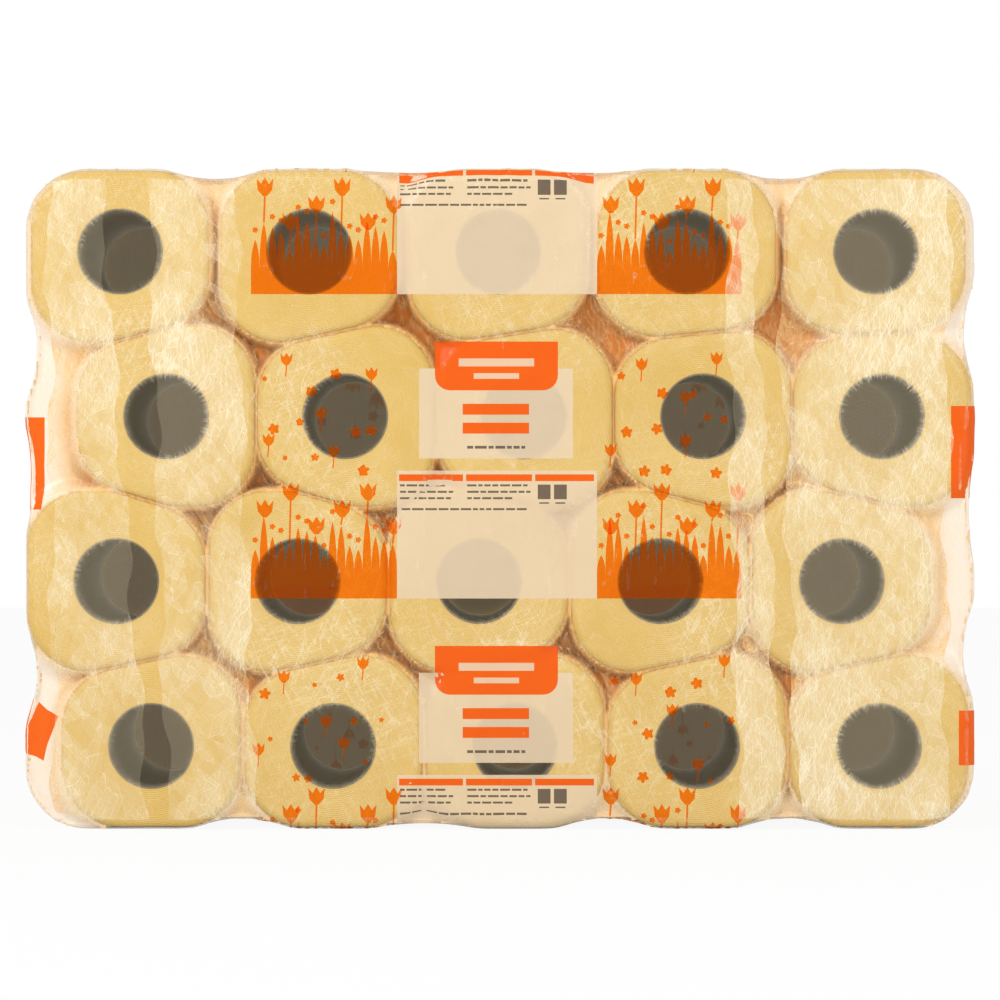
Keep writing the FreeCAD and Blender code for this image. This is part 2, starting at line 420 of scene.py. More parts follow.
def build_facets():
    """Crumpled film: straight creases between facets, and a tone for each facet, 0 to 1."""
    group, start, end = new_group(
        "film_facets",
        [("Vector", "NodeSocketVector", None), ("Scale", "NodeSocketFloat", 100.0),
         ("Width", "NodeSocketFloat", 0.05)],
        [("Creases", "NodeSocketFloat"), ("Facets", "NodeSocketFloat")],
    )
    aslant = group.nodes.new("ShaderNodeMapping")
    aslant.inputs["Rotation"].default_value = (0.95, 0.5, 0.0)
    group.links.new(start.outputs["Vector"], aslant.inputs["Vector"])
    edges = group.nodes.new("ShaderNodeTexVoronoi")
    edges.feature = "DISTANCE_TO_EDGE"
    cells = group.nodes.new("ShaderNodeTexVoronoi")
    cells.feature = "F1"
    for tex in (edges, cells):
        tex.voronoi_dimensions = "2D"
        group.links.new(aslant.outputs["Vector"], tex.inputs["Vector"])
        group.links.new(start.outputs["Scale"], tex.inputs["Scale"])
    away = math_node(group, "DIVIDE", edges.outputs["Distance"], start.outputs["Width"])
    group.links.new(math_node(group, "SUBTRACT", 1.0, away, clamp=True), end.inputs["Creases"])
    tone = group.nodes.new("ShaderNodeSeparateColor")
    group.links.new(cells.outputs["Color"], tone.inputs["Color"])
    group.links.new(tone.outputs["Red"], end.inputs["Facets"])
    return group


def build_crepe():
    """The mottle of soft crepe paper: broad clouds and a fine grain, both from 0 to 1."""
    group, start, end = new_group(
        "crepe",
        [("Vector", "NodeSocketVector", None), ("Grain", "NodeSocketFloat", 700.0)],
        [("Clouds", "NodeSocketFloat"), ("Grain", "NodeSocketFloat")],
    )
    clouds = group.nodes.new("ShaderNodeTexNoise")
    clouds.inputs["Scale"].default_value = 45.0
    clouds.inputs["Detail"].default_value = 2.0
    grain = group.nodes.new("ShaderNodeTexNoise")
    grain.inputs["Detail"].default_value = 1.0
    group.links.new(start.outputs["Vector"], clouds.inputs["Vector"])
    group.links.new(start.outputs["Vector"], grain.inputs["Vector"])
    group.links.new(start.outputs["Grain"], grain.inputs["Scale"])
    group.links.new(clouds.outputs["Fac"], end.inputs["Clouds"])
    group.links.new(grain.outputs["Fac"], end.inputs["Grain"])
    return group


streak_glints_group = build_streak_glints()
facets_group = build_facets()
crepe_group = build_crepe()
print("groups:", [group.name for group in bpy.data.node_groups])

# %% [markdown]
# ## Paper and card
# Honey tissue is a soft yellow with no gloss. Seen on a roll's end, its turns are fine rings, so
# the rings follow the roll's own attribute of distance from the axis, which moves with each
# roll. The card tube is plain grey-brown board with short fibres.


# %% Paper and card materials
def new_material(name):
    material = bpy.data.materials.new(name)
    material.use_nodes = True
    tree = material.node_tree
    shader = tree.nodes["Principled BSDF"]
    return material, tree, shader


def place_group(tree, group, vector, **values):
    node = tree.nodes.new("ShaderNodeGroup")
    node.node_tree = group
    tree.links.new(vector, node.inputs["Vector"])
    for name, value in values.items():
        node.inputs[name].default_value = value
    return node


def bump_of(tree, height, strength, distance):
    node = tree.nodes.new("ShaderNodeBump")
    node.inputs["Strength"].default_value = strength
    node.inputs["Distance"].default_value = distance
    tree.links.new(height, node.inputs["Height"])
    return node.outputs["Normal"]


def honey_tissue():
    material, tree, shader = new_material("honey_tissue_paper")
    coords = tree.nodes.new("ShaderNodeTexCoord")
    crepe = place_group(tree, crepe_group, coords.outputs["Object"], Grain=900.0)
    colour = mix_colour(tree, crepe.outputs["Clouds"], screen(218, 176, 88), screen(236, 200, 116))
    wound = tree.nodes.new("ShaderNodeAttribute")
    wound.attribute_name = "turns"
    rings = math_node(tree, "MULTIPLY", wound.outputs["Fac"], 2 * math.pi)
    rings = math_node(tree, "SINE", rings)
    speck = math_node(tree, "MULTIPLY", crepe.outputs["Grain"], 0.5)
    colour = mix_colour(tree, speck, colour, screen(224, 184, 98))
    tree.links.new(colour, shader.inputs["Base Color"])
    tree.links.new(bump_of(tree, rings, 0.5, 0.0002), shader.inputs["Normal"])
    shader.inputs["Roughness"].default_value = 0.9
    shader.inputs["Specular IOR Level"].default_value = 0.15
    return material


def grey_card():
    material, tree, shader = new_material("grey_card_board")
    coords = tree.nodes.new("ShaderNodeTexCoord")
    crepe = place_group(tree, crepe_group, coords.outputs["Object"], Grain=500.0)
    colour = mix_colour(tree, crepe.outputs["Grain"], screen(104, 93, 78), screen(132, 121, 104))
    tree.links.new(colour, shader.inputs["Base Color"])
    tree.links.new(bump_of(tree, crepe.outputs["Grain"], 0.2, 0.0003), shader.inputs["Normal"])
    shader.inputs["Roughness"].default_value = 0.85
    return material


tissue = honey_tissue()
card = grey_card()
for column in range(1, columns + 1):
    tube = nodes["core_tubes_c%d" % column]
    tube.data.materials.clear()
    tube.data.materials.append(card)
print("materials:", tissue.name, card.name)

# %% [markdown]
# ## The rolls
# A roll is a sheet wound on a tube, then squeezed by its neighbours into a rounded square. It
# could be drawn as one squashed cylinder, but the squeeze differs from roll to roll. So one
# round roll is modelled with its end inset ring by ring, like the turns, and each copy is then
# pressed to the outline of its own solid.

# %% One round roll
roll_sides = 72
end_rings = 14
bore_rank = 1.0
rim_rank = 2.0
roll_y = max(abs(place) for place in (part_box("roll_front_r1_c1")[0].y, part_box("roll_back_r1_c1")[1].y))
meeting_y = -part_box("roll_front_r1_c1")[1].y


def faces_facing(mesh, level):
    """Selects the faces of a mesh in edit mode that lie at one height."""
    mesh.faces.ensure_lookup_table()
    for face in mesh.faces:
        face.select_set(abs(face.calc_center_median().z - level) < 1e-4 and abs(face.normal.z) > 0.9)


def model_roll():
    """A round roll from rank 1 at its bore to rank 2 at its rim, and from -1 to 1 along it."""
    bpy.ops.object.select_all(action="DESELECT")
    bpy.ops.mesh.primitive_cylinder_add(
        vertices=roll_sides, radius=rim_rank, depth=2.0, end_fill_type="NGON", location=(0, 0, 0)
    )
    piece = bpy.context.object
    bpy.ops.object.mode_set(mode="EDIT")
    bpy.ops.mesh.select_mode(type="FACE")
    for level, rings in ((1.0, end_rings), (-1.0, 2)):
        mesh = bmesh.from_edit_mesh(piece.data)
        bpy.ops.mesh.select_all(action="DESELECT")
        faces_facing(mesh, level)
        bmesh.update_edit_mesh(piece.data)
        for _ in range(rings):
            bpy.ops.mesh.inset(thickness=(rim_rank - bore_rank) / rings)
        bpy.ops.mesh.delete(type="FACE")
    bpy.ops.mesh.select_mode(type="EDGE")
    mesh = bmesh.from_edit_mesh(piece.data)
    for edge in mesh.edges:
        edge.select_set(edge.is_boundary)
    bmesh.update_edit_mesh(piece.data)
    bpy.ops.mesh.bridge_edge_loops(number_cuts=2)
    mesh = bmesh.from_edit_mesh(piece.data)
    for edge in mesh.edges:
        start, end = edge.verts
        edge.select_set(abs(start.co.z - end.co.z) > 1.9)
    bmesh.update_edit_mesh(piece.data)
    bpy.ops.mesh.subdivide(number_cuts=9)
    bpy.ops.mesh.select_all(action="SELECT")
    bpy.ops.mesh.normals_make_consistent(inside=False)
    bpy.ops.object.mode_set(mode="OBJECT")
    return piece


round_roll = model_roll()
print("round roll:", len(round_roll.data.polygons), "faces")

# %% [markdown]
# The end of a real roll isn't flat. Its rim is rounded, and its turns stand a little in and out.
# Each copy gets both, and an attribute that counts its turns, for the rings in the paper's
# material.

# %% Press each copy to its own outline
rim_round = 0.0055
turn_pitch = 0.0011
turn_slip = 0.00022
rim_clearance = 0.00005
tube_clearance = 0.00012
rim_fall = 0.5
rim_tuck = 0.45


def press_roll(cell, side):
    """A copy of the round roll, pressed to its outline; side is -1 in front and 1 behind."""
    row, column = cell
    layer = "front" if side < 0 else "back"
    name = "roll_%s_r%d_c%d" % (layer, row, column)
    piece = bpy.data.objects.new(name + "_tissue", round_roll.data.copy())
    bpy.context.scene.collection.objects.link(piece)
    start = points_of(piece)
    angle = np.arctan2(start[:, 1], start[:, 0])
    rank = np.clip(np.hypot(start[:, 0], start[:, 1]) - bore_rank, 0.0, 1.0)
    along = start[:, 2]
    bore = tube_radius + tube_clearance
    reach = outlines[cell].reach(angle) - rim_clearance
    radius = bore + rank * (reach - bore)
    depth = meeting_y + (roll_y - meeting_y) * np.sqrt(np.clip((along + 1) / 2, 0.0, 1.0))
    on_end = along > 0.99
    near_rim = np.clip((radius - (reach - rim_round)) / rim_round, 0.0, 1.0)
    depth = np.where(on_end, depth - rim_round * rim_fall * (1 - np.sqrt(1 - near_rim ** 2 * 0.95)), depth)
    on_side = (rank > 0.99) & (along > -0.99)
    from_end = np.clip((roll_y - depth) / rim_round, 0.0, 1.0)
    tuck = rim_round * rim_tuck * (1 - np.sqrt(1 - (1 - from_end) ** 2 * 0.95))
    radius = np.where(on_side | (on_end & (rank > 0.99)), radius - tuck * (along > 0), radius)
    seed = Vector((row * 7.3, column * 3.1, side * 5.0))
    slip = np.zeros(len(radius))
    for i in np.where(on_end & (rank > 0.02) & (rank < 0.9))[0]:
        way = Vector((math.cos(angle[i]) * 1.5, math.sin(angle[i]) * 1.5, radius[i] * 700))
        slip[i] = noise.noise(way + seed)
    depth = depth - turn_slip * (1.2 + slip) * (on_end & (rank < 0.9))
    places = np.column_stack([
        axes[cell][0] + radius * np.cos(angle),
        side * depth,
        axes[cell][1] + radius * np.sin(angle),
    ])
    move_points(piece, places)
    keep(piece, "turns", radius / turn_pitch)
    if side > 0:
        piece.data.flip_normals()
    smooth(piece, 50)
    dress(piece, tissue, "honey_tissue")
    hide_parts(name)
    return piece


rolls = []
for cell in axes:
    for side in (-1, 1):
        rolls.append(press_roll(cell, side))
bpy.data.objects.remove(round_roll)
check_mesh = bmesh.new()
check_mesh.from_mesh(rolls[0].data)
print("rolls:", len(rolls), "volume of the first, cc:", round(check_mesh.calc_volume(signed=True) * 1e6, 1))
check_mesh.free()

# %% [markdown]
# ## Film
# Clear film is nearly invisible face on. It shows as a faint milky veil, as pale threads along
# its pleats, which are partly pale film and partly painted highlight for their glints, as a haze
# where it lies close on pale paper, and as a brighter rim where the eye meets it edge on. So the
# material mixes a transparent shader with a glossy milky one, and the mask of the mix is the sum
# of these. Round each tube's mouth the haze ends in short radial hairs. Light and bounces pass
# the film untouched, which also keeps the render quick.


# %% Marks on a film for its material
def nearest_axis(x, z):
    """For each point, how far the nearest roll's axis is, and the way to the point from it."""
    middle = np.array(list(axes.values()))
    away = np.stack([x[:, None] - middle[None, :, 0], z[:, None] - middle[None, :, 1]], axis=2)
    gap = np.hypot(away[:, :, 0], away[:, :, 1])
    pick = gap.argmin(axis=1)
    line = np.arange(len(x))
    near = gap[line, pick]
    return near, away[line, pick] / np.maximum(near, 1e-6)[:, None]


def mark_mouths(piece):
    """Keeps, at each point, its way from the nearest roll's axis, and whether it is over a gap."""
    places = points_of(piece)
    near, way = nearest_axis(places[:, 0], places[:, 2])
    keep(piece, "from_axis", near)
    keep(piece, "over_gap", step(hollow(places[:, 0], places[:, 2]), -0.0005, 0.006))
    around = piece.data.attributes.new("around", "FLOAT_VECTOR", "POINT")
    flat = np.column_stack([way[:, 0], np.zeros(len(way)), way[:, 1]])
    around.data.foreach_set("vector", flat.astype(np.float32).ravel())


# %% [markdown]
# Streaks alone would look like scratches. Their strength therefore comes and goes in broad
# patches, and where the film is crumpled, facets of differing tone with sharp creases between
# them are added; the creases, like the streaks, are partly pale film and partly painted
# highlight. Over a gap between rolls the film takes a painted tan shade, which stands in for the
# dusk between the rolls behind it.

# %% Film material
hair_length = 0.007
hair_start = 0.001
hair_fade = 0.0055
patch_scale = 16.0
patch_gain = 2.4
patch_floor = 0.7
facet_share = 0.7
crease_width = 0.05
thick_share = 0.72


def attribute(tree, name, output):
    node = tree.nodes.new("ShaderNodeAttribute")
    node.attribute_name = name
    return node.outputs[output]


def stretched(tree, coords, scale, turn=0.0):
    """Object coordinates turned in the plane of the front, and then squeezed by scale."""
    mapping = tree.nodes.new("ShaderNodeMapping")
    mapping.vector_type = "TEXTURE"
    mapping.inputs["Rotation"].default_value = (0.0, math.radians(turn), 0.0)
    mapping.inputs["Scale"].default_value = tuple(1 / part for part in scale)
    tree.links.new(coords, mapping.inputs["Vector"])
    return mapping.outputs["Vector"]


def over_paper(tree):
    """From 0 over a tube's mouth to 1 over the paper, with a hairy edge between."""
    hairs = tree.nodes.new("ShaderNodeTexNoise")
    hairs.inputs["Scale"].default_value = 22.0
    hairs.inputs["Detail"].default_value = 0.0
    tree.links.new(attribute(tree, "around", "Vector"), hairs.inputs["Vector"])
    ragged = math_node(tree, "MULTIPLY", hairs.outputs["Fac"], hair_length)
    place = math_node(tree, "ADD", attribute(tree, "from_axis", "Fac"), ragged)
    place = math_node(tree, "SUBTRACT", place, tube_radius + hair_start)
    return math_node(tree, "DIVIDE", place, hair_fade, clamp=True)


crumple = [
    (110.0, -34.0, (3.0, 1.0, 0.9)),
    (90.0, 28.0, (2.8, 1.0, 0.9)),
]


def film(name, veil, haze, thread, rim, threads, colour=(250, 236, 202), gap_share=1.2, crushes=1):
    """See-through film. veil, haze, thread and rim are its shares of milkiness, and thread is partly
    painted highlight for the glints on the pleats; threads lists (scale, turn, width, stretch) for
    each set of streaks. Over a gap between rolls the film shows a painted shade."""
    material, tree, shader = new_material(name)
    coords = tree.nodes.new("ShaderNodeTexCoord").outputs["Object"]
    total = None
    for scale, turn, width, stretch in threads:
        vector = stretched(tree, coords, stretch, turn)
        mask = place_group(tree, streak_glints_group, vector, Scale=scale, Width=width).outputs["Mask"]
        total = mask if total is None else math_node(tree, "ADD", total, mask)
    patches = tree.nodes.new("ShaderNodeTexNoise")
    patches.inputs["Scale"].default_value = patch_scale
    patches.inputs["Detail"].default_value = 0.0
    tree.links.new(coords, patches.inputs["Vector"])
    patchy = math_node(tree, "MULTIPLY", patches.outputs["Fac"], patch_gain)
    patchy = math_node(tree, "SUBTRACT", patchy, patch_floor, clamp=True)
    # The threads are partly the film's pale pleats and partly painted highlight for their glints.
    lines = math_node(tree, "MULTIPLY", math_node(tree, "MULTIPLY", total, patchy), thread)
    cling = math_node(tree, "ADD", math_node(tree, "MULTIPLY", patchy, haze), lines)
    for scale, turn, stretch in crumple[:crushes]:
        vector = stretched(tree, coords, stretch, turn)
        crushed = place_group(tree, facets_group, vector, Scale=scale, Width=crease_width).outputs
        tone = math_node(tree, "POWER", crushed["Facets"], 2.0)
        cling = math_node(tree, "ADD", cling, math_node(tree, "MULTIPLY", tone, haze * facet_share))
        # The creases are partly pale film and partly painted highlight.
        sharp = math_node(tree, "MULTIPLY", crushed["Creases"], tone)
        cling = math_node(tree, "ADD", cling, math_node(tree, "MULTIPLY", sharp, thread))
    cling = math_node(tree, "MULTIPLY", cling, over_paper(tree))
    gap = attribute(tree, "over_gap", "Fac")
    thick = attribute(tree, "thick", "Fac")
    change = math_node(tree, "ADD", math_node(tree, "MULTIPLY", gap, gap_share - 1.0), 1.0)
    mask = math_node(tree, "ADD", cling, veil)
    mask = math_node(tree, "ADD", mask, math_node(tree, "MULTIPLY", thick, thick_share))
    edge = tree.nodes.new("ShaderNodeLayerWeight")
    edge.inputs["Blend"].default_value = 0.25
    edge_on = math_node(tree, "POWER", edge.outputs["Facing"], 2.0)
    edge_on = math_node(tree, "MULTIPLY", edge_on, rim)
    mask = math_node(tree, "MULTIPLY", math_node(tree, "ADD", mask, edge_on), change, clamp=True)
    # Painted shade: over a gap between rolls the film turns tan, for the dusk between the rolls behind it.
    gap_shaded_colour = mix_colour(tree, gap, screen(*colour), screen(248, 202, 138))
    gap_shaded_colour = mix_colour(tree, thick, gap_shaded_colour, screen(252, 236, 216))
    tree.links.new(gap_shaded_colour, shader.inputs["Base Color"])
    shader.inputs["Roughness"].default_value = 0.25
    shader.inputs["Specular IOR Level"].default_value = 0.35
    let_light_pass(tree, mask, shader)
    return material


def let_light_pass(tree, mask, shader):
    """Shows the shader by its mask to the eye, and lets every other ray through."""
    clear = tree.nodes.new("ShaderNodeBsdfTransparent").outputs[0]
    seen = mix_shaders(tree, mask, clear, shader.outputs[0])
    path = tree.nodes.new("ShaderNodeLightPath")
    choice = mix_shaders(tree, path.outputs["Is Camera Ray"], clear, seen)
    tree.links.new(choice, tree.nodes["Material Output"].inputs["Surface"])


long_threads = [
    (22.0, 24.0, 0.022, (11.0, 11.0, 1.0)),
    (34.0, -28.0, 0.03, (8.0, 8.0, 1.0)),
]
wrap_threads = [
    (40.0, 70.0, 0.04, (7.0, 7.0, 1.0)),
]
bag_film = film("bag_film_clear", 0.03, 0.055, 0.34, 0.5, long_threads)
wrap_film = film(
    "bundle_film_clear", 0.04, 0.05, 0.32, 0.3, wrap_threads,
    colour=(250, 228, 178), gap_share=0.1, crushes=0
)
print("film materials:", bag_film.name, wrap_film.name)


# %% [markdown]
# ## Film skins
# The bag and the ten wraps are thin shells, and what the eye sees is their outer face. A copy of
# the solid is merged into one surface, its inner wall is taken away, and the rest is remeshed
# into even small faces, which can then be dented and creased.


# %% Film skins
skin_passes = 3
wrap_face = 0.004
wrap_wave = 0.018
wrap_pleat = 0.00045
crest_sharpness = 2.2


def outer_skin(node, name, face_size):
    """The outer wall of a thin solid, as an even mesh: the wall that reaches widest along Y."""
    piece = bpy.data.objects.new(name, nodes[node].data.copy())
    bpy.context.scene.collection.objects.link(piece)
    mesh = bmesh.new()
    mesh.from_mesh(piece.data)
    bmesh.ops.remove_doubles(mesh, verts=mesh.verts, dist=1e-6)
    left = set(mesh.verts)
    walls = []
    while left:
        walk = [left.pop()]
        wall = set(walk)
        while walk:
            for edge in walk.pop().link_edges:
                for vert in edge.verts:
                    if vert in left:
                        left.discard(vert)
                        wall.add(vert)
                        walk.append(vert)
        walls.append(wall)
    walls.sort(key=lambda wall: max(vert.co.y for vert in wall) - min(vert.co.y for vert in wall))
    for wall in walls[:-1]:
        bmesh.ops.delete(mesh, geom=list(wall), context="VERTS")
    mesh.to_mesh(piece.data)
    mesh.free()
    only(piece)
    piece.data.remesh_voxel_size = face_size
    bpy.ops.object.voxel_remesh()
    mesh = bmesh.new()
    mesh.from_mesh(piece.data)
    for _ in range(skin_passes):
        bmesh.ops.smooth_vert(
            mesh, verts=mesh.verts, factor=0.5, use_axis_x=True, use_axis_y=True, use_axis_z=True
        )
    mesh.to_mesh(piece.data)
    mesh.free()
    return piece


def crease(places, size, seed, stretch):
    """A ridged noise from 0 to 1 at each place: soft valleys with sharp crests between them."""
    found = np.zeros(len(places))
    for i, (x, y, z) in enumerate(places):
        at = Vector((x * stretch[0], y * stretch[1], z * stretch[2])) / size + seed
        found[i] = 1 - min(1.0, abs(noise.noise(at)) * crest_sharpness)
    return found


def shape_wrap(bundle, column):
    """The film round four rolls, creased over their ends."""
    node = "bundle_wrap_b%d_c%d" % (bundle, column)
    piece = outer_skin(node, node + "_film", wrap_face)
    places = points_of(piece)
    seed = Vector((bundle * 11.0, column * 5.0, 3.0))
    rough = crease(places, wrap_wave, seed, (1.0, 0.6, 1.0))
    side = np.sign(places[:, 1])
    flat = step(np.abs(places[:, 1]), roll_y - 0.001, roll_y)
    places[:, 1] += side * flat * wrap_pleat * rough ** 2
    move_points(piece, places)
    mark_mouths(piece)
    smooth(piece)
    dress(piece, wrap_film, "bundle_film")
    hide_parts(node)
    return piece


wraps = []
for bundle in (1, 2):
    for column in range(1, columns + 1):
        wraps.append(shape_wrap(bundle, column))
print("wraps:", len(wraps), "faces in the first:", len(wraps[0].data.polygons))

# %% [markdown]
# The bag's film is pulled tight over the roll ends and sinks a little into each hollow between
# them. Fine pleats cross it on every side but the one that it stands on.

# %% The bag
bag_face = 0.003
bag_dent = 0.006
dent_width = 0.009
bag_wave = 0.022
bag_pleat = 0.0009
rim_pleat = 0.0005
underside = 0.004


def shape_bag():
    """The bag's outer skin, dented over the hollows and pleated all round but underneath."""
    piece = outer_skin("outer_bag", "bag_film_skin", bag_face)
    places = points_of(piece)
    side = np.sign(places[:, 1])
    broad = step(np.abs(places[:, 1]), roll_y - 0.003, roll_y + 0.0005)
    depth = hollow(places[:, 0], places[:, 2])
    places[:, 1] -= side * broad * bag_dent * step(depth, 0.0, dent_width)
    pleats = crease(places, bag_wave, Vector((1.0, 2.0, 3.0)), (1.6, 0.5, 0.6))
    places[:, 1] += side * broad * bag_pleat * pleats ** 3
    out = places.copy()
    out[:, 1] = 0.0
    out[:, 2] -= camera_height
    length = np.maximum(np.linalg.norm(out, axis=1), 1e-6)
    rise = (1 - broad) * rim_pleat * pleats ** 2 * (places[:, 2] > underside)
    places += out / length[:, None] * rise[:, None]
    move_points(piece, places)
    mark_mouths(piece)
    smooth(piece)
    dress(piece, bag_film, "bag_film")
    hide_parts("outer_bag")
    return piece


bag = shape_bag()
print("bag faces:", len(bag.data.polygons))

# %% [markdown]
# ## Film gathered in the gaps
# Between the rolls the wraps' spare film is drawn deep into the hollows, in pleats. Their
# material has painted light: a painted highlight of pale threads on the pleats, and a painted
# brown shade the deeper the film lies and the further it lies inside the bag's wall, for the
# yellow dusk between the paper walls. A grid over the whole front is the simplest start: the
# cells over a roll are deleted, and what is left is pushed in, the wider the hollow the deeper.

# %% Gathered film
gather_cell = 0.0016
gather_depth = 0.020
gather_pleat = 0.0025
gather_top = 0.0015
gather_hem = 0.0035
hem_width = 0.003
gather_wave = 0.009
wall_gap = 0.0006
sink_width = 0.0045
inner_band = (0.010, 0.040)
thick_reach = 0.030
thick_fade = 0.020
shoulder_band = (0.070, 0.035)
end_band = (0.185, 0.215)


def bag_reach(steps=720):
    """How far the bag's wall is from the pack's middle line, in each direction."""
    places = points_of(bag)
    wall = places[(np.abs(places[:, 1]) > 0.02) & (np.abs(places[:, 1]) < 0.06)]
    dx, dz = wall[:, 0], wall[:, 2] - camera_height
    slot = ((np.arctan2(dz, dx) + math.pi) / (2 * math.pi) * steps).astype(int) % steps
    reach = np.zeros(steps)
    np.maximum.at(reach, slot, np.hypot(dx, dz))
    known = np.where(reach > 0)[0]
    return np.interp(np.arange(steps), known, reach[known], period=steps)


bag_wall = bag_reach()


def inside_bag(x, z):
    """How far each point lies inside the bag's wall."""
    dz = z - camera_height
    slot = (np.arctan2(dz, x) + math.pi) / (2 * math.pi) * len(bag_wall)
    return bag_wall[slot.astype(int) % len(bag_wall)] - np.hypot(x, dz)


def mark_thick(piece):
    """Marks the shoulders beyond the rolls, where several layers of film are folded together."""
    places = points_of(piece)
    beyond = step(hollow(places[:, 0], places[:, 2]), -0.001, 0.004)
    near_wall = step(thick_reach - inside_bag(places[:, 0], places[:, 2]), 0.0, thick_fade)
    shoulder = step(np.abs(places[:, 1]), roll_y - shoulder_band[0], roll_y - shoulder_band[1])
    at_end = 0.3 + 0.7 * step(np.abs(places[:, 0]), *end_band)
    keep(piece, "thick", beyond * near_wall * shoulder * at_end)


mark_thick(bag)


def gathered_material():
    """Pleated film: pale threads painted as highlight on its pleats, and a painted brown shade the
    deeper it lies and the further it lies inside the bag's wall.
    """
    material, tree, shader = new_material("gathered_film")
    coords = tree.nodes.new("ShaderNodeTexCoord").outputs["Object"]
    vector = stretched(tree, coords, (4.0, 1.0, 1.0))
    threads = place_group(tree, streak_glints_group, vector, Scale=60.0, Width=0.06).outputs["Mask"]
    # Painted shade: the film goes brown the deeper it lies, and stays pale cream near the bag's wall, where
    # light comes in.
    sunk = attribute(tree, "sunk", "Fac")
    colour = mix_colour(tree, sunk, screen(255, 200, 116), screen(236, 134, 40))
    colour = mix_colour(tree, attribute(tree, "inner", "Fac"), screen(250, 218, 176), colour)
    # Painted highlight: pale threads for the light on the pleats.
    colour = mix_colour(tree, math_node(tree, "MULTIPLY", threads, 0.4), colour, screen(252, 222, 170))
    tree.links.new(colour, shader.inputs["Base Color"])
    shader.inputs["Roughness"].default_value = 0.55
    shader.inputs["Specular IOR Level"].default_value = 0.2
    mask = math_node(tree, "ADD", sunk, 0.9, clamp=True)
    let_light_pass(tree, mask, shader)
    return material


def add_gathers(name, side):
    """The gathered film of one broad face; side is -1 in front and 1 behind."""
    size = cad_high - cad_low
    bpy.ops.object.select_all(action="DESELECT")
    bpy.ops.mesh.primitive_grid_add(
        x_subdivisions=int(size.x / gather_cell), y_subdivisions=int(size.z / gather_cell), size=1.0
    )
    piece = bpy.context.object
    piece.name = name
    places = points_of(piece)
    flat = np.column_stack([
        places[:, 0] * size.x, np.zeros(len(places)), (places[:, 1] + 0.5) * size.z
    ])
    between = hollow(flat[:, 0], flat[:, 2])
    within = inside_bag(flat[:, 0], flat[:, 2])
    inner = step(within, *inner_band)
    sunk = step(np.minimum(between, within), 0.0, sink_width) * (0.3 + 0.7 * inner)
    pleats = crease(flat, gather_wave, Vector((4.0, side * 3.0, 1.0)), (1.0, 1.0, 0.16))
    depth = gather_top + gather_depth * sunk - gather_pleat * sunk * pleats
    depth += gather_hem * step(hem_width / 2 - between, 0.0, hem_width)
    flat[:, 1] = side * (roll_y - depth)
    move_points(piece, flat)
    mesh = bmesh.new()
    mesh.from_mesh(piece.data)
    mesh.verts.ensure_lookup_table()
    outside = (between < -1.2 * gather_cell) | (within < wall_gap)
    spare = [vert for vert in mesh.verts if outside[vert.index]]
    bmesh.ops.delete(mesh, geom=spare, context="VERTS")
    lone = [vert for vert in mesh.verts if not vert.link_faces]
    bmesh.ops.delete(mesh, geom=lone, context="VERTS")
    mesh.to_mesh(piece.data)
    mesh.free()
    if side > 0:
        piece.data.flip_normals()
    places = points_of(piece)
    keep(piece, "sunk", step(roll_y - np.abs(places[:, 1]), gather_top, gather_depth * 0.8))
    keep(piece, "inner", step(inside_bag(places[:, 0], places[:, 2]), *inner_band))
    smooth(piece)
    dress(piece, gathered, "bundle_film")
    return piece


gathered = gathered_material()
gathers = [add_gathers("gathered_film_front", -1), add_gathers("gathered_film_back", 1)]
print("gathered film faces:", [len(piece.data.polygons) for piece in gathers])

# %% [markdown]
# ## Laying things on the film
# The print and the bag's folds follow the film round the pack. A flat drawing has a place along
# the pack and a place along the web of film, which runs up the front, over the top, down the
# back and under. That path is a rectangle with small round corners. From each point of it a
# line is cast inwards, and where it meets the film the drawing is laid, a hair outside.

# %% The film's path round the pack
corner_radius = 0.012
stand_off = 0.02
film_surface = BVHTree.FromObject(bag, bpy.context.evaluated_depsgraph_get())


class Path:
    """A rounded rectangle round the pack, walked by distance; half_depth is along Y."""

    def __init__(self, half_depth, low, high):
        self.half_depth, self.low, self.high = half_depth, low, high
        rise = high - low - 2 * corner_radius
        depth = 2 * half_depth - 2 * corner_radius
        arc = corner_radius * math.pi / 2
        self.runs = [rise, arc, depth, arc, rise, arc, depth, arc]
        self.start = low + corner_radius

    def at(self, distance):
        """Where the path is, and which way is in: (y, height), (y, height)."""
        left = (distance - self.start) % sum(self.runs)
        for number, run in enumerate(self.runs):
            if left < run:
                break
            left -= run
        quarter = number // 2
        turn = quarter * math.pi / 2
        half_rise = (self.high - self.low) / 2
        reach = self.half_depth if quarter % 2 == 0 else half_rise
        width = half_rise if quarter % 2 == 0 else self.half_depth
        if number % 2 == 0:
            out, along = reach, left - width + corner_radius
            lean = 0.0
        else:
            lean = left / corner_radius
            out = reach - corner_radius + corner_radius * math.cos(lean)
            along = width - corner_radius + corner_radius * math.sin(lean)
        cos, sin = math.cos(turn), math.sin(turn)
        y = -out * cos + along * sin
        height = (self.low + self.high) / 2 + out * sin + along * cos
        way_y, way_height = math.cos(turn + lean), -math.sin(turn + lean)
        return (y, height), (way_y, way_height)

    def behind(self, height):
        """The distance along the path at which it comes down the back at this height."""
        return sum(self.runs[:4]) + self.start + (self.high - corner_radius - height)


web = Path(cad_high.y, cad_low.z, cad_high.z)


